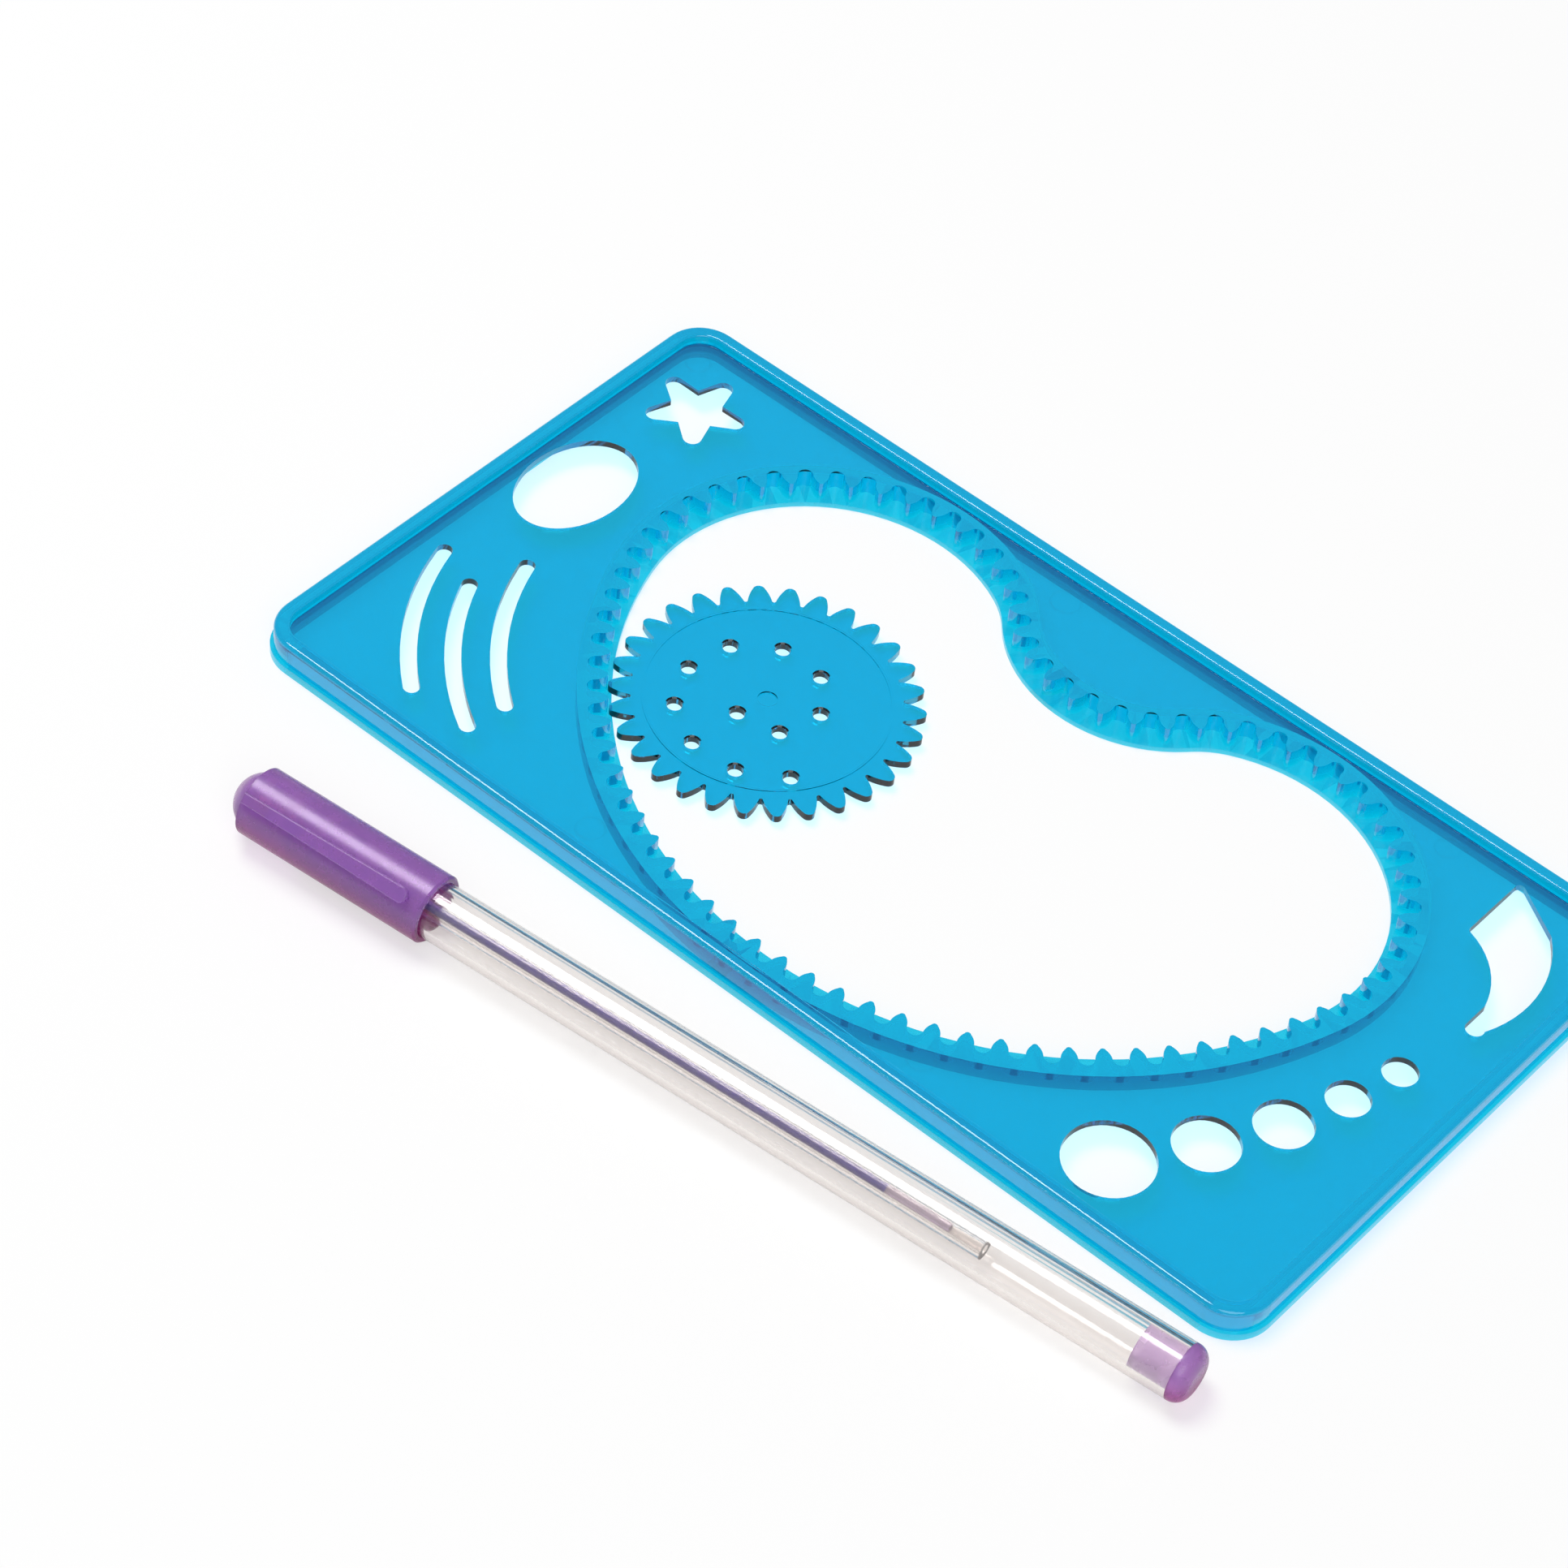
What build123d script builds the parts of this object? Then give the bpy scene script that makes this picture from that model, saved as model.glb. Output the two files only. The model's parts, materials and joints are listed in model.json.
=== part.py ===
from build123d import *
from math import asin, cos, degrees, pi, radians, sin
import os

# A gear-and-ring drawing set, in millimetres: a moulded stencil plate with a toothed
# kidney-shaped opening, a loose gear wheel that lies in it, and a capped stick pen.
# +Z is up, X runs along the plate, and the set stands on z = 0, centred on the origin.

# ---- stencil plate ----
plate_length = 169.6
plate_width = 92.0
plate_corner_r = 6.5
foot_step = 0.45            # how far the foot stands out all round
foot_height = 1.2
rim_height = 4.8
rim_wall = 2.2
rim_round = 0.7
rim_inner_round = 0.4
panel_top = 3.8
panel_thickness = 1.0

# ---- toothed opening: tangent arcs, symmetric about its own centre line ----
opening_x = 1.19            # the opening's centre line, from the plate's middle
waist_y = 27.95
waist_r = 17.55
waist_turn = 49.2
flank_length = 0.5
shoulder_r = 18.3
shoulder_turn = 21.2
lobe_r = 29.95
lobe_turn = 134.5
ring_wall = 0.8
ledge_height = 0.8
ledge_inset = 4.1           # from the ring's outline to the ledge's free edge
ring_tooth_count = 76
ring_tooth_shift = 0.14     # share of a tooth by which the row starts after the waist
ring_pitch_inset = 2.0      # the line along which the teeth are spaced
ring_tooth_depth = 2.9
ring_valley_r = 1.1
ring_tip_half = 0.42
ring_tip_rise = 0.28
ring_flank_bulge = 0.15

# ---- gear wheel ----
gear_x = -28.1
gear_y = -3.9
gear_tooth_count = 30
gear_first_tooth = 2.06     # degrees from +X
gear_tip_r = 21.76
gear_root_r = 18.65
gear_thickness = 1.12
gear_play = 0.03            # gap under the gear, so that it slides on the ledge
gear_tip_half = 0.75
gear_tip_rise = 0.41
gear_flank_half = 1.34
gear_valley_half = 0.3
gear_valley_rise = 0.28
gear_bead_r = 17.1
gear_bead_width = 0.3
gear_bead_height = 0.12
gear_dimple_r = 1.4
gear_dimple_depth = 0.25
pen_hole_count = 11
pen_hole_r = 1.1
pen_hole_chamfer = 0.2
spiral_outer_r = 14.7
spiral_inner_r = 5.07
spiral_start = 323.0
spiral_bend = 1.35          # above 1, the spiral draws in more slowly at its start
spiral_spacing = 7.67       # arc length between neighbouring pen holes

# ---- shapes cut through the panel, each group from the plate's nearest corner or end ----
slot_width = 2.3
slot_arcs = [               # from the front left corner
    [(7.8, 30.0), (13.4, 17.9), (22.7, 7.7)],
    [(14.8, 27.6), (21.8, 16.8), (32.9, 7.8)],
    [(17.8, 36.0), (24.4, 23.4), (33.8, 14.2)],
]
round_holes = [             # centre x, centre y, radius, from the front right corner
    (-29.2, 10.7, 6.26),
    (-21.9, 21.5, 4.60),
    (-16.8, 31.1, 4.08),
    (-13.4, 40.4, 3.08),
    (-11.25, 48.85, 2.49),
]
oval_center = (11.5, 6.9)   # from the middle of the left end
oval_half_width = 7.23
oval_half_height = 10.42
star_center = (12.95, -15.15)  # from the back left corner
star_outer_r = 10.7
star_inner_r = 3.9
star_tip_r = 1.36
star_notch_r = 1.5
fin_top = (-19.2, -4.4)     # the fin's points are from the back right corner
fin_foot = (-19.2, -16.7)
fin_waist = (-13.6, -19.8)
fin_hip = (-9.9, -26.1)
fin_tail_inner = (-9.9, -30.4)
fin_tail_end = (-8.55, -31.5)
fin_tail_outer = (-7.35, -29.7)
fin_side = (-5.95, -19.8)
fin_shoulder = (-10.6, -9.7)
fin_corner_r = 0.7

# ---- pen: lengths along its axis start at the cap's shoulder ----
pen_shoulder_x = -60.75
pen_below_plate = 22.55     # plate's front edge to the pen's axis, at the cap's shoulder
pen_turn = 5.35             # degrees from +X
cap_r = 4.9
cap_length = 29.4
cap_dome_r = 4.15
cap_dome_length = 3.2
cap_bore_depth = 21.4
cap_cavity_r = 3.4
cap_dome_wall = 1.8
cap_mouth_chamfer = 0.3
cap_clearance = 0.06
barrel_stop_gap = 1.0       # between the barrel's front end and the end of the cap's bore
clip_start = 0.3
clip_end_gap = 3.0          # from the clip's shoulders to the cap's mouth
clip_tip_round = 0.8
clip_root_length = 4.0
clip_root_width = 1.5
clip_root_sink = 1.6
clip_tip_width = 2.2
clip_gap = 0.35
clip_thickness = 0.75
clip_edge_round = 0.25
clip_roll = 43.0            # degrees that the clip leans towards the front
barrel_r = 4.0
barrel_bore_r = 3.0
barrel_end = 143.8
plug_depth = 5.8
plug_head_length = 2.3
plug_head_round = 2.1
plug_pocket_r = 1.7
plug_pocket_depth = 4.0
press_fit = 0.02            # gap left between pieces that are pressed together
holder_nose_length = 4.0
holder_nose_r = 2.0
holder_collar_r = 3.1
holder_depth = 9.0
point_length = 5.6
point_tip_r = 0.75
point_base_r = 1.3
point_tail_length = 3.6
point_tail_r = 1.0
feed_r = 0.3
ball_r = 0.5
ball_show = 0.3
ball_clearance = 0.02
refill_recess = 1.0
refill_r = 1.5
refill_bore_r = 0.65
refill_end = 115.0
ink_end = 100.4
follower_length = 9.6

# ---- sizes that follow from the ones above ----
bore_end = cap_length - cap_bore_depth
barrel_start = bore_end + barrel_stop_gap
clip_end = cap_length - clip_end_gap
pen_tilt = degrees(asin((cap_r - barrel_r) / (barrel_end - cap_length)))
pen_reach = pen_below_plate + cap_r * cos(radians(pen_turn))
plate_y = pen_reach / 2
pen_direction = Vector(1, 0, 0).rotate(Axis.Y, pen_tilt).rotate(Axis.Z, pen_turn)
pen_start = Vector(
    pen_shoulder_x,
    plate_y - plate_width / 2 - pen_below_plate,
    cap_r * cos(radians(pen_tilt)) + cap_length * sin(radians(pen_tilt)),
)
pen_side = Vector(-sin(radians(pen_turn)), cos(radians(pen_turn)), 0)
pen_plane = Plane(origin=pen_start, x_dir=pen_direction, z_dir=-pen_side)
pen_axis = Axis(pen_start, pen_direction)
gear_center = Vector(gear_x, plate_y + gear_y, ledge_height + gear_play)
holder_start = barrel_start - holder_nose_length
refill_start = barrel_start + refill_recess
point_start = holder_start - point_length
ball_center = pen_start + pen_direction * (point_start + ball_r - ball_show)
clip_up = pen_plane.y_dir.rotate(Axis((0, 0, 0), pen_direction), clip_roll)
clip_plane = Plane(
    origin=pen_start + clip_up * (cap_r + clip_gap), x_dir=pen_direction, z_dir=clip_up
)


def plate_plane(height):
    """Plane at a height over the table, with its origin over the plate's middle."""
    return Plane(origin=(0, plate_y, height))


def edge_plane(side, end):
    """Plane on the table with its origin at a corner, or at an end's middle where end is 0."""
    return Plane(origin=(side * plate_length / 2, plate_y + end * plate_width / 2, 0))


def opening_plane(height):
    """Plane at a height over the table, on the opening's centre line."""
    return Plane(origin=(opening_x, plate_y, height))


def half_outline(inset):
    """Right half of the opening's outline, from the waist clockwise to the belly."""
    heading = waist_turn - shoulder_turn - lobe_turn
    reach = waist_r * sin(radians(waist_turn)) + flank_length * cos(radians(waist_turn))
    reach += shoulder_r * (sin(radians(waist_turn)) - sin(radians(waist_turn - shoulder_turn)))
    reach += lobe_r * (sin(radians(waist_turn - shoulder_turn)) - sin(radians(heading)))
    belly_r = -reach / sin(radians(heading))
    waist = JernArc((0, waist_y - inset), (1, 0), waist_r + inset, waist_turn)
    flank = Line(waist @ 1, waist @ 1 + (waist % 1) * flank_length)
    shoulder = JernArc(flank @ 1, flank % 1, shoulder_r - inset, -shoulder_turn)
    lobe = JernArc(shoulder @ 1, shoulder % 1, lobe_r - inset, -lobe_turn)
    JernArc(lobe @ 1, lobe % 1, belly_r - inset, -(180 + heading))


def whole_outline(inset):
    """The opening's whole outline, moved in by the inset, or out where it is negative."""
    half_outline(inset)
    mirror(about=Plane.YZ)


with BuildLine() as pitch_half:
    half_outline(ring_pitch_inset)
pitch_line = pitch_half.wires()[0]
if pitch_line.position_at(0).Y < pitch_line.position_at(1).Y:
    pitch_line = Wire([edge.reversed() for edge in reversed(pitch_line.edges())])
ring_pitch = 2 * pitch_line.length / ring_tooth_count


def ring_point(along, rise):
    """Point at a length along the pitch line from the waist, and a rise into the opening."""
    along = along % (2 * pitch_line.length)
    side = 1
    if along > pitch_line.length:
        along = 2 * pitch_line.length - along
        side = -1
    spot = pitch_line.position_at(along, position_mode=PositionMode.LENGTH)
    run = pitch_line.tangent_at(along, position_mode=PositionMode.LENGTH)
    return (side * (spot.X + rise * run.Y), spot.Y - rise * run.X)


def ring_teeth_outline():
    """Closed outline of the toothed ring: one valley, two flanks and a tip for each tooth."""
    tip = ring_tooth_depth / 2
    root_half = ring_pitch / 2 - ring_valley_r
    root_rise = ring_valley_r - tip
    flank_half = (root_half + ring_tip_half) / 2 + ring_flank_bulge
    flank_rise = (root_rise + tip - ring_tip_rise) / 2
    for number in range(ring_tooth_count):
        start = (number + ring_tooth_shift) * ring_pitch
        stop = start + ring_pitch
        middle = start + ring_pitch / 2
        tip_out = ring_point(start + ring_tip_half, tip - ring_tip_rise)
        root_out = ring_point(start + root_half, root_rise)
        root_in = ring_point(stop - root_half, root_rise)
        tip_in = ring_point(stop - ring_tip_half, tip - ring_tip_rise)
        tip_over = ring_point(stop + ring_tip_half, tip - ring_tip_rise)
        ThreePointArc(tip_out, ring_point(start + flank_half, flank_rise), root_out)
        ThreePointArc(root_out, ring_point(middle, -tip), root_in)
        ThreePointArc(root_in, ring_point(stop - flank_half, flank_rise), tip_in)
        ThreePointArc(tip_in, ring_point(stop, tip), tip_over)


def gear_point(turn, radius, across):
    """Point on the gear at a radius, a distance across from the ray at an angle."""
    angle = radians(turn) + across / radius
    return (radius * cos(angle), radius * sin(angle))


def gear_teeth_outline():
    """Closed outline of the gear: a rounded tip, two bowed flanks and a valley a tooth."""
    step = 360 / gear_tooth_count
    valley_r = gear_root_r + gear_valley_rise
    valley_half = pi * valley_r / gear_tooth_count - gear_valley_half
    shoulder_r_ = gear_tip_r - gear_tip_rise
    flank_r = (shoulder_r_ + valley_r) / 2
    for number in range(gear_tooth_count):
        turn = gear_first_tooth + number * step
        tip_low = gear_point(turn, shoulder_r_, -gear_tip_half)
        tip_high = gear_point(turn, shoulder_r_, gear_tip_half)
        root_high = gear_point(turn, valley_r, valley_half)
        next_root = gear_point(turn + step, valley_r, -valley_half)
        next_tip = gear_point(turn + step, shoulder_r_, -gear_tip_half)
        ThreePointArc(tip_low, gear_point(turn, gear_tip_r, 0), tip_high)
        ThreePointArc(tip_high, gear_point(turn, flank_r, gear_flank_half), root_high)
        ThreePointArc(root_high, gear_point(turn + step / 2, gear_root_r, 0), next_root)
        ThreePointArc(next_root, gear_point(turn + step, flank_r, -gear_flank_half), next_tip)


def spiral_holes():
    """Centres of the pen holes, on a spiral that winds in from the gear's edge."""
    spots = []
    angle = spiral_start
    for number in range(pen_hole_count):
        share = (number / (pen_hole_count - 1)) ** spiral_bend
        radius = spiral_outer_r + (spiral_inner_r - spiral_outer_r) * share
        spots.append((radius * cos(radians(angle)), radius * sin(radians(angle))))
        angle -= degrees(spiral_spacing / radius)
    return spots


# ---- stencil plate: rim, panel, ring wall and ledge, then everything cut through it ----
with BuildPart() as stencil_plate:
    with BuildSketch(plate_plane(0)):
        RectangleRounded(plate_length, plate_width, plate_corner_r)
    extrude(amount=foot_height)
    with BuildSketch(plate_plane(0)):
        RectangleRounded(
            plate_length - 2 * foot_step, plate_width - 2 * foot_step, plate_corner_r - foot_step
        )
    extrude(amount=rim_height)
    fillet(stencil_plate.faces().sort_by(Axis.Z)[-1].edges(), rim_round)
    with BuildSketch(plate_plane(panel_top)):
        RectangleRounded(
            plate_length - 2 * foot_step - 2 * rim_wall,
            plate_width - 2 * foot_step - 2 * rim_wall,
            plate_corner_r - foot_step - rim_wall,
        )
    extrude(amount=rim_height, mode=Mode.SUBTRACT)
    rim_top = stencil_plate.faces().sort_by(Axis.Z)[-1]
    fillet(rim_top.inner_wires()[0].edges(), rim_inner_round)
    with BuildSketch(plate_plane(0)):
        RectangleRounded(
            plate_length - 2 * foot_step - 2 * rim_wall,
            plate_width - 2 * foot_step - 2 * rim_wall,
            plate_corner_r - foot_step - rim_wall,
        )
    extrude(amount=panel_top - panel_thickness, mode=Mode.SUBTRACT)
    with BuildSketch(opening_plane(0)):
        with BuildLine():
            whole_outline(-ring_wall)
        make_face()
    extrude(amount=panel_top)
    with BuildSketch(opening_plane(ledge_height)):
        with BuildLine():
            ring_teeth_outline()
        make_face()
    extrude(amount=rim_height, mode=Mode.SUBTRACT)
    with BuildSketch(opening_plane(0)):
        with BuildLine():
            whole_outline(ledge_inset)
        make_face()
    extrude(amount=rim_height, mode=Mode.SUBTRACT)
    with BuildSketch(edge_plane(-1, -1)):
        for start, middle, stop in slot_arcs:
            with BuildLine(mode=Mode.PRIVATE) as slot_path:
                ThreePointArc(start, middle, stop)
            SlotArc(slot_path.edge(), height=slot_width)
    extrude(amount=rim_height, mode=Mode.SUBTRACT)
    with BuildSketch(edge_plane(1, -1)):
        for hole_x, hole_y, hole_r in round_holes:
            with Locations((hole_x, hole_y)):
                Circle(hole_r)
    extrude(amount=rim_height, mode=Mode.SUBTRACT)
    with BuildSketch(edge_plane(-1, 0)):
        with Locations(oval_center):
            Ellipse(oval_half_width, oval_half_height)
    extrude(amount=rim_height, mode=Mode.SUBTRACT)
    with BuildSketch(edge_plane(-1, 1).move(Location(star_center))):
        with BuildLine():
            Polyline(
                [
                    (
                        (star_inner_r if number % 2 else star_outer_r) * sin(radians(36 * number)),
                        (star_inner_r if number % 2 else star_outer_r) * cos(radians(36 * number)),
                    )
                    for number in range(10)
                ],
                close=True,
            )
        star = make_face()
        corners = star.vertices().sort_by_distance((0, 0, 0))
        fillet(corners[5:], star_tip_r)
        fillet(corners[:5], star_notch_r)
    extrude(amount=rim_height, mode=Mode.SUBTRACT)
    with BuildSketch(edge_plane(1, 1)):
        with BuildLine():
            Line(fin_top, fin_foot)
            ThreePointArc(fin_foot, fin_waist, fin_hip)
            Line(fin_hip, fin_tail_inner)
            ThreePointArc(fin_tail_inner, fin_tail_end, fin_tail_outer)
            ThreePointArc(fin_tail_outer, fin_side, fin_shoulder)
            Line(fin_shoulder, fin_top)
        fin = make_face()
        fillet(fin.vertices().sort_by(Axis.X)[:2], fin_corner_r)
    extrude(amount=rim_height, mode=Mode.SUBTRACT)
stencil_plate.part.label = "stencil_plate"
export_step(stencil_plate.part, "parts/stencil_plate.step")

# ---- gear wheel: toothed disc with a raised bead, a centre dimple and the pen holes ----
with BuildPart() as gear_wheel:
    with BuildSketch(Plane(origin=gear_center)):
        with BuildLine():
            gear_teeth_outline()
        make_face()
    extrude(amount=gear_thickness)
    with BuildSketch(Plane(origin=gear_center + Vector(0, 0, gear_thickness))):
        Circle(gear_bead_r + gear_bead_width / 2)
        Circle(gear_bead_r - gear_bead_width / 2, mode=Mode.SUBTRACT)
    extrude(amount=gear_bead_height)
    with BuildSketch(Plane(origin=gear_center + Vector(0, 0, gear_thickness))):
        Circle(gear_dimple_r)
    extrude(amount=-gear_dimple_depth, mode=Mode.SUBTRACT)
    with BuildSketch(Plane(origin=gear_center)):
        with Locations(*spiral_holes()):
            Circle(pen_hole_r)
    extrude(amount=gear_thickness, mode=Mode.SUBTRACT)
    rims = gear_wheel.edges().filter_by(GeomType.CIRCLE)
    rims = rims.filter_by(lambda rim: abs(rim.radius - pen_hole_r) < pen_hole_chamfer / 2)
    rims = rims.filter_by(lambda rim: rim.center().Z > gear_center.Z + gear_thickness / 2)
    chamfer(rims, pen_hole_chamfer)
gear_wheel.part.label = "gear_wheel"
export_step(gear_wheel.part, "parts/gear_wheel.step")

# ---- pen barrel ----
with BuildPart() as pen_barrel:
    with BuildSketch(pen_plane):
        with BuildLine():
            Polyline(
                (barrel_start, barrel_bore_r),
                (barrel_end, barrel_bore_r),
                (barrel_end, barrel_r),
                (barrel_start, barrel_r),
                close=True,
            )
        make_face()
    revolve(axis=pen_axis)
pen_barrel.part.label = "pen_barrel"
export_step(pen_barrel.part, "parts/pen_barrel.step")

# ---- end plug: a stem pressed into the barrel, and a rounded head against its end ----
with BuildPart() as end_plug:
    with BuildSketch(pen_plane):
        with BuildLine():
            stem_r = barrel_bore_r - press_fit
            stem_start = barrel_end - plug_depth
            head_end = barrel_end + plug_head_length
            pocket_end = stem_start + plug_pocket_depth
            Polyline(
                (pocket_end, 0),
                (pocket_end, plug_pocket_r),
                (stem_start, plug_pocket_r),
                (stem_start, stem_r),
                (barrel_end, stem_r),
                (barrel_end, barrel_r),
                (head_end - plug_head_round, barrel_r),
            )
            RadiusArc(
                (head_end - plug_head_round, barrel_r),
                (head_end, barrel_r - plug_head_round),
                plug_head_round,
            )
            Polyline((head_end, barrel_r - plug_head_round), (head_end, 0), (pocket_end, 0))
        make_face()
    revolve(axis=pen_axis)
end_plug.part.label = "end_plug"
export_step(end_plug.part, "parts/end_plug.step")

# ---- tip holder: pressed into the barrel's front, it holds the refill and the point ----
with BuildPart() as tip_holder:
    with BuildSketch(pen_plane):
        with BuildLine():
            tail_end = holder_start + point_tail_length
            holder_end = barrel_start + holder_depth
            Polyline(
                (holder_start, point_tail_r + press_fit),
                (tail_end, point_tail_r + press_fit),
                (tail_end, feed_r),
                (refill_start, feed_r),
                (refill_start, refill_r + press_fit),
                (holder_end, refill_r + press_fit),
                (holder_end, barrel_bore_r - press_fit),
                (barrel_start, barrel_bore_r - press_fit),
                (barrel_start, holder_collar_r),
                (holder_start, holder_nose_r),
                close=True,
            )
        make_face()
    revolve(axis=pen_axis)
tip_holder.part.label = "tip_holder"
export_step(tip_holder.part, "parts/tip_holder.step")

# ---- metal point: turned cone with a tail, a feed channel and the ball's socket ----
with BuildPart() as metal_point:
    with BuildSketch(pen_plane):
        with BuildLine():
            socket_r = ball_r + ball_clearance
            socket_center = point_start + ball_r - ball_show
            lip = (point_start, (socket_r**2 - (ball_r - ball_show) ** 2) ** 0.5)
            throat = (socket_center + (socket_r**2 - feed_r**2) ** 0.5, feed_r)
            ThreePointArc(lip, (socket_center, socket_r), throat)
            Polyline(
                throat,
                (holder_start + point_tail_length, feed_r),
                (holder_start + point_tail_length, point_tail_r),
                (holder_start, point_tail_r),
                (holder_start, point_base_r),
                (point_start, point_tip_r),
                lip,
            )
        make_face()
    revolve(axis=pen_axis)
metal_point.part.label = "metal_point"
export_step(metal_point.part, "parts/metal_point.step")

# ---- writing ball ----
with BuildPart(Plane(origin=ball_center)) as writing_ball:
    Sphere(ball_r)
writing_ball.part.label = "writing_ball"
export_step(writing_ball.part, "parts/writing_ball.step")

# ---- refill: the tube, the ink in it and the grease that follows the ink ----
with BuildPart() as refill_tube:
    with BuildSketch(pen_plane):
        with BuildLine():
            Polyline(
                (refill_start, refill_bore_r),
                (refill_end, refill_bore_r),
                (refill_end, refill_r),
                (refill_start, refill_r),
                close=True,
            )
        make_face()
    revolve(axis=pen_axis)
refill_tube.part.label = "refill_tube"
export_step(refill_tube.part, "parts/refill_tube.step")

with BuildPart() as ink_column:
    with BuildSketch(pen_plane):
        with BuildLine():
            Polyline(
                (refill_start, 0),
                (ink_end, 0),
                (ink_end, refill_bore_r - press_fit),
                (refill_start, refill_bore_r - press_fit),
                close=True,
            )
        make_face()
    revolve(axis=pen_axis)
ink_column.part.label = "ink_column"
export_step(ink_column.part, "parts/ink_column.step")

with BuildPart() as ink_follower:
    with BuildSketch(pen_plane):
        with BuildLine():
            Polyline(
                (ink_end, 0),
                (ink_end + follower_length, 0),
                (ink_end + follower_length, refill_bore_r - press_fit),
                (ink_end, refill_bore_r - press_fit),
                close=True,
            )
        make_face()
    revolve(axis=pen_axis)
ink_follower.part.label = "ink_follower"
export_step(ink_follower.part, "parts/ink_follower.step")

# ---- pen cap: domed sleeve with a square shoulder and a clip along the side that faces up ----
with BuildPart() as pen_cap:
    with BuildSketch(pen_plane):
        with BuildLine():
            bore_r = barrel_r + cap_clearance
            cavity_end = cap_dome_wall - cap_dome_length
            TangentArc((-cap_dome_length, 0), (0, cap_dome_r), tangent=(0, 1))
            Polyline(
                (0, cap_dome_r),
                (0, cap_r),
                (cap_length - cap_mouth_chamfer, cap_r),
                (cap_length, cap_r - cap_mouth_chamfer),
                (cap_length, bore_r),
                (bore_end, bore_r),
                (bore_end, cap_cavity_r),
                (cavity_end, cap_cavity_r),
                (cavity_end, 0),
                (-cap_dome_length, 0),
            )
        make_face()
    revolve(axis=pen_axis)
    with BuildSketch(clip_plane):
        with BuildLine():
            Polyline(
                (clip_start, clip_root_width / 2),
                (clip_start, -clip_root_width / 2),
                (clip_end, -clip_tip_width / 2),
            )
            ThreePointArc(
                (clip_end, -clip_tip_width / 2),
                (clip_end + clip_tip_round, 0),
                (clip_end, clip_tip_width / 2),
            )
            Line((clip_end, clip_tip_width / 2), (clip_start, clip_root_width / 2))
        make_face()
    extrude(amount=clip_thickness)
    fillet(pen_cap.faces().sort_by(Axis(pen_start, clip_up))[-1].edges(), clip_edge_round)
    with BuildSketch(clip_plane):
        with Locations((clip_start + clip_root_length / 2, 0)):
            Rectangle(clip_root_length, clip_root_width)
    extrude(amount=-clip_root_sink)
pen_cap.part.label = "pen_cap"
export_step(pen_cap.part, "parts/pen_cap.step")
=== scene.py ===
import json
from math import radians

import bpy
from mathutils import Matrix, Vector


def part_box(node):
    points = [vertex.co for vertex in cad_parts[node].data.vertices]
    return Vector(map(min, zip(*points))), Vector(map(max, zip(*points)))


# A spiral drawing set on a plain white table: a stencil plate and a gear wheel moulded in
# clear blue polystyrene, and a clear stick pen with a violet cap, violet plug and violet ink.
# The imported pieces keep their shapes. This script gives each its material, and adds the light.

# ---- view, in metres, degrees and millimetres of lens ----
camera_place = (0.25063, -0.38198, 0.49317)
camera_turn = (43.188, -5.367, 40.669)
camera_lens = 116.25
camera_sensor = 36.0
camera_near = 0.01

# ---- table and light ----
floor_half = 3.0
table_colour = "FFFFFF"
table_shadow = 0.42         # share of the table's look that takes the object's shadow
key_place = (-0.62, 0.05, 1.55)
key_size = 0.8
key_power = 17.0
fill_place = (0.9, -0.9, 1.3)
fill_size = 1.4
fill_power = 11.0
sky_light = 0.22

# ---- how the plastics bend light, and how strongly they take it up, per metre ----
polystyrene_ior = 1.59
polypropylene_ior = 1.49
blue_density = 1500.0
tube_density = 80.0

# ---- sizes of the surface detail, in metres ----
flow_ripple = 0.014         # slow waves that cooling leaves in a moulded face
polish_grain = 0.0006       # the mould's polish, drawn coarser than it is so that it shows
mottle_size = 0.0022        # clouds where the violet pigment is not quite mixed
# painted light: towards the lower of these heights the violet is painted magenta, standing in for
# light from the table coming through the piece
painted_glow_low = 0.0018           # heights between which the violet turns from magenta
painted_glow_high = 0.0072
dome_length = 0.0032        # the cap's thin dome, which looks paler than the rest
stem_length = 0.0062        # how far the plug's hollow stem, paler too, shows in the barrel
turning_pitch = 0.00025     # tool marks on the brass, drawn coarser than they are
draw_wave = 0.02            # slow waves along a drawn tube
ink_cloud = 0.004
ejector_marks = [           # centre x and y from the plate's middle, and radius
    (-0.0782, 0.0386, 0.0018),
    (-0.0103, 0.0390, 0.0022),
    (0.0550, 0.0396, 0.0018),
    (0.0283, -0.0393, 0.0020),
    (-0.0280, -0.0400, 0.0020),
]
ejector_line = 0.00012

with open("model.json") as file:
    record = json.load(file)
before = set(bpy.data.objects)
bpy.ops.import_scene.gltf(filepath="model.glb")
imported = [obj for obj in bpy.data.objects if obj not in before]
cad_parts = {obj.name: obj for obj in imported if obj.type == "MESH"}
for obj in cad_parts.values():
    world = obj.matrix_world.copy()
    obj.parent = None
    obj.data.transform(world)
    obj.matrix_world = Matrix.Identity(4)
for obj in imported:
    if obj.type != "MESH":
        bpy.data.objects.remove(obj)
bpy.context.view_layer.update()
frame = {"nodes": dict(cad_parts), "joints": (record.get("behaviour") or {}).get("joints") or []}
nodes = frame["nodes"]
pen_direction = -Vector(next(j["axis"] for j in frame["joints"] if j["name"] == "cap_pull"))
dome_start = min(pen_direction.dot(v.co) for v in nodes["pen_cap"].data.vertices)
barrel_end = max(pen_direction.dot(v.co) for v in nodes["pen_barrel"].data.vertices)
plate_low, plate_high = (Vector(corner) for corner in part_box("stencil_plate"))
plate_middle = (plate_low + plate_high) / 2


def linear(hex_colour):
    """sRGB hex value to linear RGBA."""
    parts = [int(hex_colour[i:i + 2], 16) / 255 for i in (0, 2, 4)]
    straight = [p / 12.92 if p <= 0.04045 else ((p + 0.055) / 1.055) ** 2.4 for p in parts]
    return (*straight, 1.0)


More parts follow.
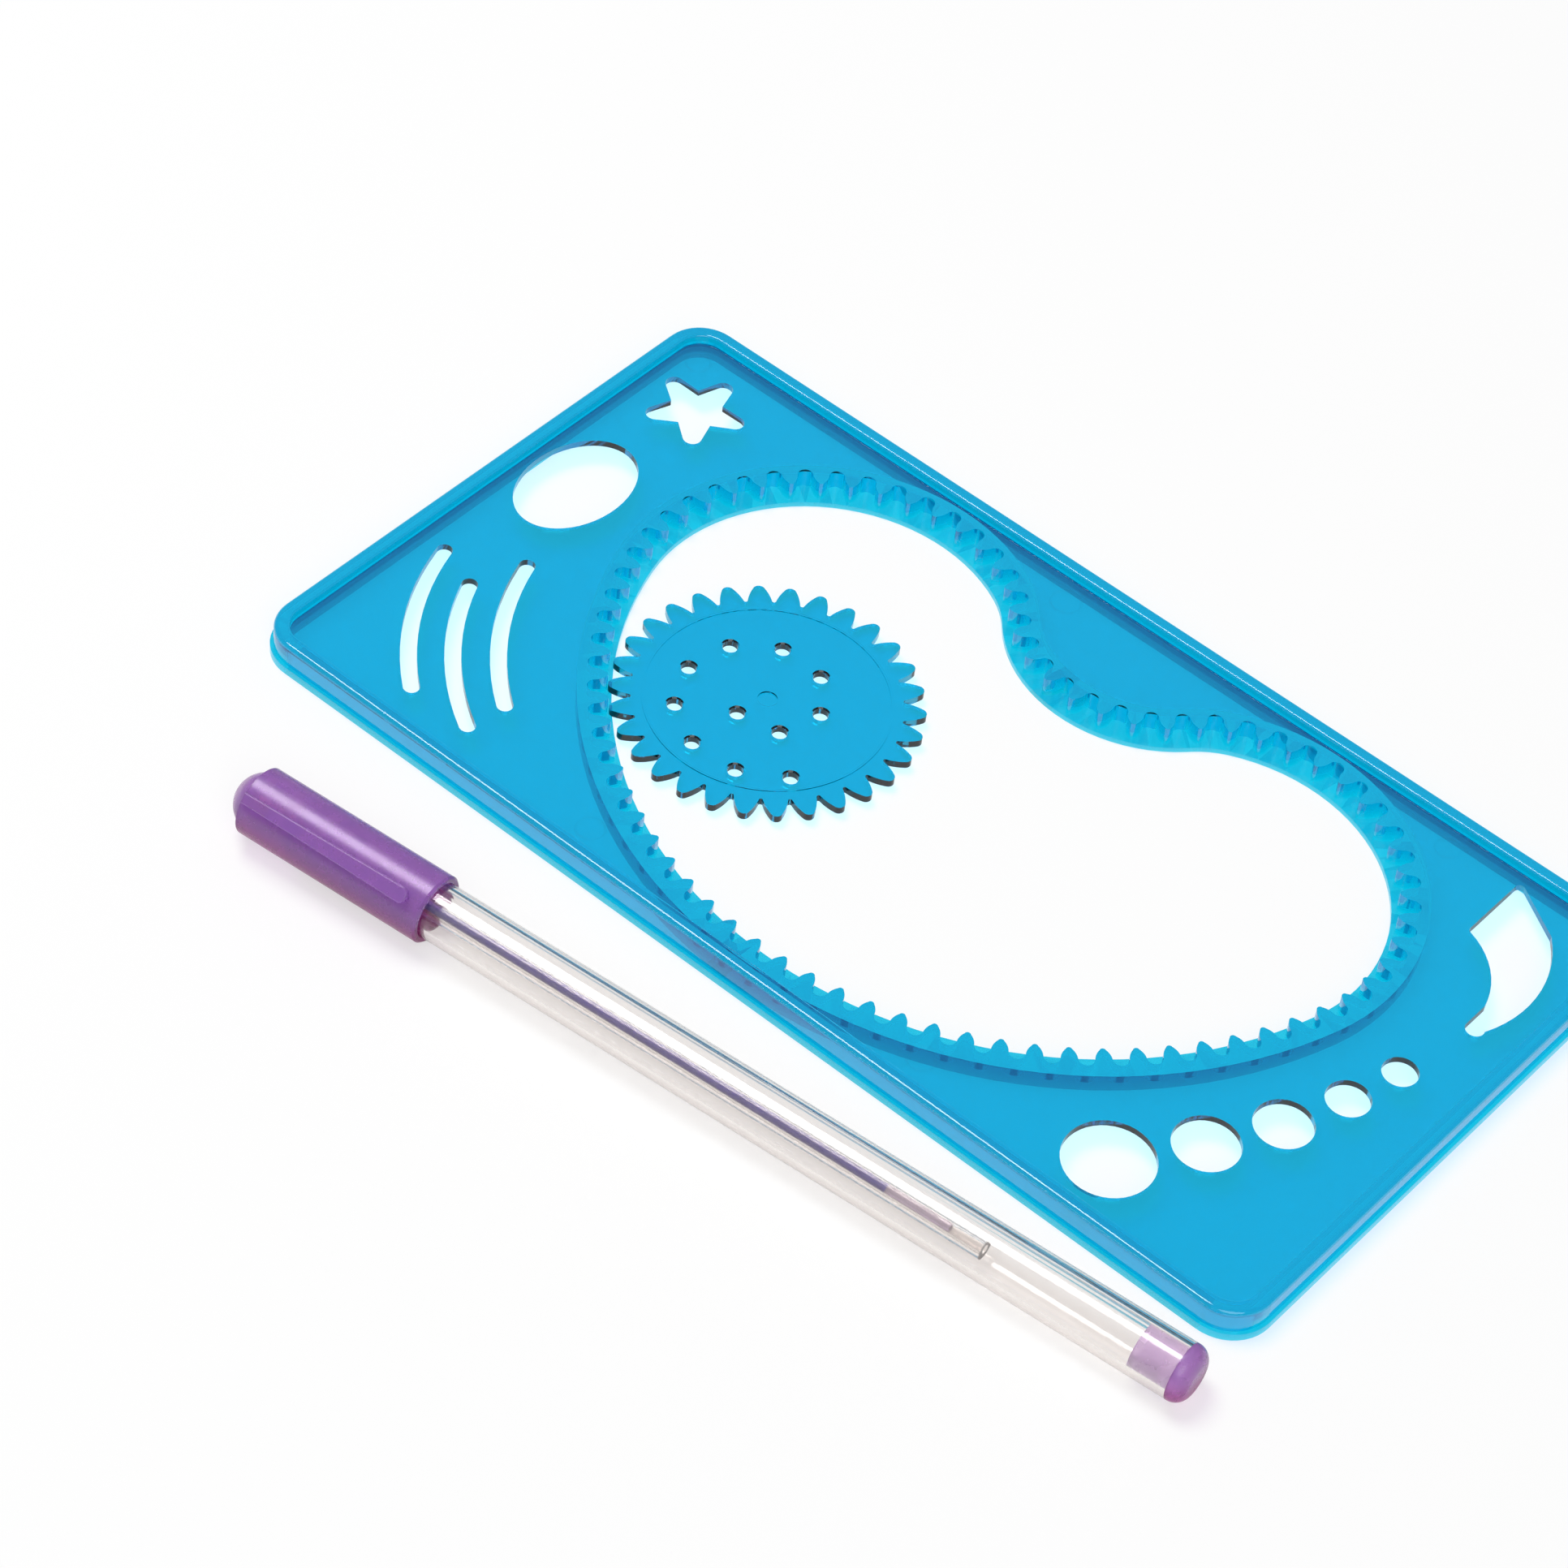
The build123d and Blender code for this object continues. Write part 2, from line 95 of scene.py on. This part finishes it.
def add(tree, kind, settings=None, **inputs):
    """Adds a node with its settings; inputs are values, or sockets to link, by name or number."""
    node = tree.nodes.new(kind)
    for name, value in (settings or {}).items():
        setattr(node, name, value)
    for name, value in inputs.items():
        key = name.replace("_", " ").strip()
        socket = node.inputs[int(name[1:]) if name[1:].isdigit() else key]
        if isinstance(value, bpy.types.NodeSocket):
            tree.links.new(value, socket)
        else:
            socket.default_value = value
    return node


def new_material(name):
    """An empty node material, its tree, its output node and the object's own coordinates."""
    material = bpy.data.materials.new(name)
    material.use_nodes = True
    tree = material.node_tree
    tree.nodes.clear()
    out = add(tree, "ShaderNodeOutputMaterial")
    place = add(tree, "ShaderNodeTexCoord").outputs["Object"]
    return material, tree, out, place


def let_lamps_through(tree, out, body, tint):
    """Lets the lamps' light through a clear piece, tinted, so that its shadow is coloured."""
    path = add(tree, "ShaderNodeLightPath")
    through = add(tree, "ShaderNodeBsdfTransparent", Color=linear(tint))
    mix = add(tree, "ShaderNodeMixShader", Fac=path.outputs["Is Shadow Ray"],
              i1=body.outputs["BSDF"], i2=through.outputs["BSDF"])
    tree.links.new(mix.outputs["Shader"], out.inputs["Surface"])


def clouded(tree, place, size, low, high):
    """Colour that drifts in soft clouds of a size between two hex values."""
    cloud = add(tree, "ShaderNodeTexNoise", Vector=place, Scale=1 / size, Detail=2.0)
    return add(tree, "ShaderNodeMix", {"data_type": "RGBA"}, i0=cloud.outputs["Fac"],
               i6=linear(low), i7=linear(high)).outputs[2]


def along_pen(tree, place):
    """Distance along the pen's axis, in metres."""
    return add(tree, "ShaderNodeVectorMath", {"operation": "DOT_PRODUCT"},
               i0=place, i1=pen_direction).outputs["Value"]


def seen_by(tree, *rays):
    """One for the kinds of ray that are named, and nothing for the others."""
    path = add(tree, "ShaderNodeLightPath")
    total = path.outputs[rays[0]]
    for ray in rays[1:]:
        total = add(tree, "ShaderNodeMath", {"operation": "ADD", "use_clamp": True},
                    i0=total, i1=path.outputs[ray]).outputs["Value"]
    return total


# Clear blue polystyrene, injection moulded and glossy from a polished mould. Thin panels are
# bright cyan and look flat and even; edges and teeth, seen through more depth, turn deeper.
# Ejector pins left faint rings in it.
def clear_blue_polystyrene():
    material, tree, out, place = new_material("clear_blue_polystyrene")
    slow = add(tree, "ShaderNodeTexNoise", Vector=place, Scale=1 / flow_ripple, Detail=1.0)
    fine = add(tree, "ShaderNodeTexNoise", Vector=place, Scale=1 / polish_grain, Detail=2.0)
    shine = add(tree, "ShaderNodeMapRange", Value=fine.outputs["Fac"], From_Min=0.3, From_Max=0.7,
                To_Min=0.02, To_Max=0.07)
    waves = add(tree, "ShaderNodeBump", Strength=0.06, Distance=flow_ripple / 10,
                Height=slow.outputs["Fac"])
    bump = add(tree, "ShaderNodeBump", Strength=0.02, Distance=polish_grain / 10,
               Height=fine.outputs["Fac"], Normal=waves.outputs["Normal"])
    flat = add(tree, "ShaderNodeVectorMath", {"operation": "MULTIPLY"}, i0=place, i1=(1, 1, 0))
    for x, y, radius in ejector_marks:
        away = add(tree, "ShaderNodeVectorMath", {"operation": "DISTANCE"},
                   i0=flat.outputs["Vector"], i1=(plate_middle.x + x, plate_middle.y + y, 0))
        ring = add(tree, "ShaderNodeMath", {"operation": "COMPARE"}, i0=away.outputs["Value"],
                   i1=radius, i2=ejector_line)
        bump = add(tree, "ShaderNodeBump", Strength=0.5, Distance=ejector_line / 2,
                   Height=ring.outputs["Value"], Normal=bump.outputs["Normal"])
    body = add(tree, "ShaderNodeBsdfPrincipled", Base_Color=linear("14B2D0"), IOR=polystyrene_ior,
               Transmission_Weight=1.0, Roughness=shine.outputs["Result"],
               Normal=bump.outputs["Normal"])
    depth = add(tree, "ShaderNodeVolumeAbsorption", Color=linear("00FAFD"), Density=blue_density)
    tree.links.new(depth.outputs["Volume"], out.inputs["Volume"])
    let_lamps_through(tree, out, body, "C0ECFC")
    return material


# Clear polystyrene tube, extruded. It is glossy, with slow waves along it, and looks silvery
# because it bends the white of the table into soft bands, a little beige where it is deep.
def clear_polystyrene_tube():
    material, tree, out, place = new_material("clear_polystyrene_tube")
    waves = add(tree, "ShaderNodeTexNoise", Vector=place, Scale=1 / draw_wave, Detail=1.0)
    bump = add(tree, "ShaderNodeBump", Strength=0.04, Distance=draw_wave / 50,
               Height=waves.outputs["Fac"])
    body = add(tree, "ShaderNodeBsdfPrincipled", Base_Color=linear("FFFFFF"), IOR=polystyrene_ior,
               Transmission_Weight=1.0, Roughness=0.06, Normal=bump.outputs["Normal"])
    depth = add(tree, "ShaderNodeVolumeAbsorption", Color=linear("B4844E"), Density=tube_density)
    tree.links.new(depth.outputs["Volume"], out.inputs["Volume"])
    let_lamps_through(tree, out, body, "D2CECC")
    return material


# Natural polypropylene, extruded or moulded: milky, so that the ink in it has a soft edge.
def natural_polypropylene():
    material, tree, out, place = new_material("natural_polypropylene")
    cloud = add(tree, "ShaderNodeTexNoise", Vector=place, Scale=1 / mottle_size, Detail=2.0)
    shine = add(tree, "ShaderNodeMapRange", Value=cloud.outputs["Fac"], To_Min=0.08, To_Max=0.16)
    bump = add(tree, "ShaderNodeBump", Strength=0.05, Distance=mottle_size / 20,
               Height=cloud.outputs["Fac"])
    body = add(tree, "ShaderNodeBsdfPrincipled", Base_Color=linear("F6F2F0"),
               IOR=polypropylene_ior, Transmission_Weight=0.97,
               Roughness=shine.outputs["Result"], Normal=bump.outputs["Normal"])
    let_lamps_through(tree, out, body, "E4DFE4")
    return material


# Violet polypropylene, moulded: half clear, softly glossy, with the pigment a little clouded. The
# side near the table has a painted magenta glow, mixed in by height, standing in for table light
# that comes through the piece. The cap's dome and the plug's stem are thin or hollow, and look
# lilac.
def violet_polypropylene():
    material, tree, out, place = new_material("violet_polypropylene")
    cloud = add(tree, "ShaderNodeTexNoise", Vector=place, Scale=1 / mottle_size, Detail=3.0,
                Roughness=0.55)
    violet = add(tree, "ShaderNodeMix", {"data_type": "RGBA"}, i0=cloud.outputs["Fac"],
                 i6=linear("A47AC6"), i7=linear("BC84CE"))
    # Painted glow: lower down, the violet is mixed towards magenta by height alone, standing in
    # for light from the table that comes through the piece.
    height = add(tree, "ShaderNodeSeparateXYZ", Vector=place).outputs["Z"]
    glow = add(tree, "ShaderNodeMapRange", {"interpolation_type": "SMOOTHSTEP"}, Value=height,
               From_Min=painted_glow_low, From_Max=painted_glow_high)
    painted_glow_colour = add(tree, "ShaderNodeMix", {"data_type": "RGBA"}, i0=glow.outputs["Result"],
              i6=linear("A81482"), i7=violet.outputs[2])
    length = along_pen(tree, place)
    past_dome = add(tree, "ShaderNodeMapRange", Value=length, From_Min=dome_start,
                    From_Max=dome_start + dome_length)
    stem = add(tree, "ShaderNodeMath", {"operation": "COMPARE"}, i0=length,
               i1=barrel_end - stem_length / 2, i2=stem_length / 2)
    solid = add(tree, "ShaderNodeMath", {"operation": "SUBTRACT"},
                i0=past_dome.outputs["Result"], i1=stem.outputs["Value"])
    colour = add(tree, "ShaderNodeMix", {"data_type": "RGBA"}, i0=solid.outputs["Value"],
                 i6=linear("DCC4E8"), i7=painted_glow_colour.outputs[2])
    shine = add(tree, "ShaderNodeMapRange", Value=cloud.outputs["Fac"], To_Min=0.2, To_Max=0.34)
    bump = add(tree, "ShaderNodeBump", Strength=0.03, Distance=mottle_size / 20,
               Height=cloud.outputs["Fac"])
    body = add(tree, "ShaderNodeBsdfPrincipled", Base_Color=colour.outputs[2],
               IOR=polypropylene_ior, Transmission_Weight=0.55,
               Roughness=shine.outputs["Result"], Normal=bump.outputs["Normal"])
    let_lamps_through(tree, out, body, "C49AD0")
    return material


# Violet ball pen ink: a thick glossy paste that lets no light through, deep violet all over.
def violet_ink():
    material, tree, out, place = new_material("violet_ink")
    body = add(tree, "ShaderNodeBsdfPrincipled", IOR=1.45, Roughness=0.2,
               Base_Color=clouded(tree, place, ink_cloud, "2A128C", "3C20A0"))
    tree.links.new(body.outputs["BSDF"], out.inputs["Surface"])
    return material


# Follower grease: a clear jelly, faintly stained by the ink that it has followed.
def follower_grease():
    material, tree, out, place = new_material("follower_grease")
    body = add(tree, "ShaderNodeBsdfPrincipled", IOR=1.45, Transmission_Weight=0.7,
               Roughness=0.15, Base_Color=clouded(tree, place, ink_cloud, "CDBCE0", "E2D8EE"))
    tree.links.new(body.outputs["BSDF"], out.inputs["Surface"])
    return material


# Brass, turned on a lathe: yellow metal with fine rings left by the tool.
def turned_brass():
    material, tree, out, place = new_material("turned_brass")
    rings = add(tree, "ShaderNodeMath", {"operation": "PINGPONG"}, i0=along_pen(tree, place),
                i1=turning_pitch)
    bump = add(tree, "ShaderNodeBump", Strength=0.3, Distance=turning_pitch,
               Height=rings.outputs["Value"])
    body = add(tree, "ShaderNodeBsdfPrincipled", Metallic=1.0, Roughness=0.22,
               Base_Color=clouded(tree, place, mottle_size, "C9A45C", "DDBD7C"),
               Normal=bump.outputs["Normal"])
    tree.links.new(body.outputs["BSDF"], out.inputs["Surface"])
    return material


# Carbide ball, ground and lapped: grey metal, almost a mirror, with a film of ink in patches.
def lapped_carbide():
    material, tree, out, place = new_material("lapped_carbide")
    body = add(tree, "ShaderNodeBsdfPrincipled", Metallic=1.0, Roughness=0.12,
               Base_Color=clouded(tree, place, turning_pitch, "9C9AA4", "7A6E98"))
    tree.links.new(body.outputs["BSDF"], out.inputs["Surface"])
    return material


blue = clear_blue_polystyrene()
natural = natural_polypropylene()
violet = violet_polypropylene()
finishes = {
    "stencil_plate": blue,
    "gear_wheel": blue,
    "pen_barrel": clear_polystyrene_tube(),
    "refill_tube": natural,
    "tip_holder": natural,
    "pen_cap": violet,
    "end_plug": violet,
    "ink_column": violet_ink(),
    "ink_follower": follower_grease(),
    "metal_point": turned_brass(),
    "writing_ball": lapped_carbide(),
}
for name, material in finishes.items():
    nodes[name].data.materials.clear()
    nodes[name].data.materials.append(material)


# ---- table: white, and seen as white, with the object's shadow on it ----
def white_table():
    material, tree, out, _ = new_material("white_table")
    paper = add(tree, "ShaderNodeBsdfDiffuse", Color=linear(table_colour))
    glow = add(tree, "ShaderNodeEmission", Color=linear("FFFFFF"), Strength=1.0)
    shaded = add(tree, "ShaderNodeMixShader", Fac=table_shadow, i1=glow.outputs["Emission"],
                 i2=paper.outputs["BSDF"])
    seen = seen_by(tree, "Is Camera Ray", "Is Glossy Ray", "Is Transmission Ray")
    mix = add(tree, "ShaderNodeMixShader", Fac=seen, i1=paper.outputs["BSDF"],
              i2=shaded.outputs["Shader"])
    tree.links.new(mix.outputs["Shader"], out.inputs["Surface"])
    return material


bpy.ops.mesh.primitive_plane_add(size=2 * floor_half)
table = bpy.context.object
table.name = "table_top"
table.data.materials.append(white_table())


# ---- light: two soft lamps, and a sky that is seen white but lights the object dimly ----
def lamp(name, place, size, power):
    """A round soft lamp that points at the object."""
    data = bpy.data.lights.new(name, "AREA")
    data.shape = "DISK"
    data.size = size
    data.energy = power
    light = bpy.data.objects.new(name, data)
    light.location = place
    light.rotation_euler = (-Vector(place)).to_track_quat("-Z", "Y").to_euler()
    bpy.context.collection.objects.link(light)


def white_sky():
    world = bpy.data.worlds.new("world")
    world.use_nodes = True
    tree = world.node_tree
    tree.nodes.clear()
    seen = seen_by(tree, "Is Camera Ray", "Is Transmission Ray")
    dim = add(tree, "ShaderNodeBackground", Color=linear("FFFFFF"), Strength=sky_light)
    bright = add(tree, "ShaderNodeBackground", Color=linear("FFFFFF"), Strength=1.0)
    mix = add(tree, "ShaderNodeMixShader", Fac=seen, i1=dim.outputs["Background"],
              i2=bright.outputs["Background"])
    add(tree, "ShaderNodeOutputWorld", Surface=mix.outputs["Shader"])
    return world


lamp("key", key_place, key_size, key_power)
lamp("fill", fill_place, fill_size, fill_power)
bpy.context.scene.world = white_sky()

# ---- camera ----
camera_data = bpy.data.cameras.new("camera")
camera_data.lens = camera_lens
camera_data.sensor_width = camera_sensor
camera_data.clip_start = camera_near
camera = bpy.data.objects.new("camera", camera_data)
camera.location = camera_place
camera.rotation_euler = [radians(turn) for turn in camera_turn]
bpy.context.collection.objects.link(camera)
bpy.context.scene.camera = camera
bpy.context.scene.view_settings.view_transform = "Standard"
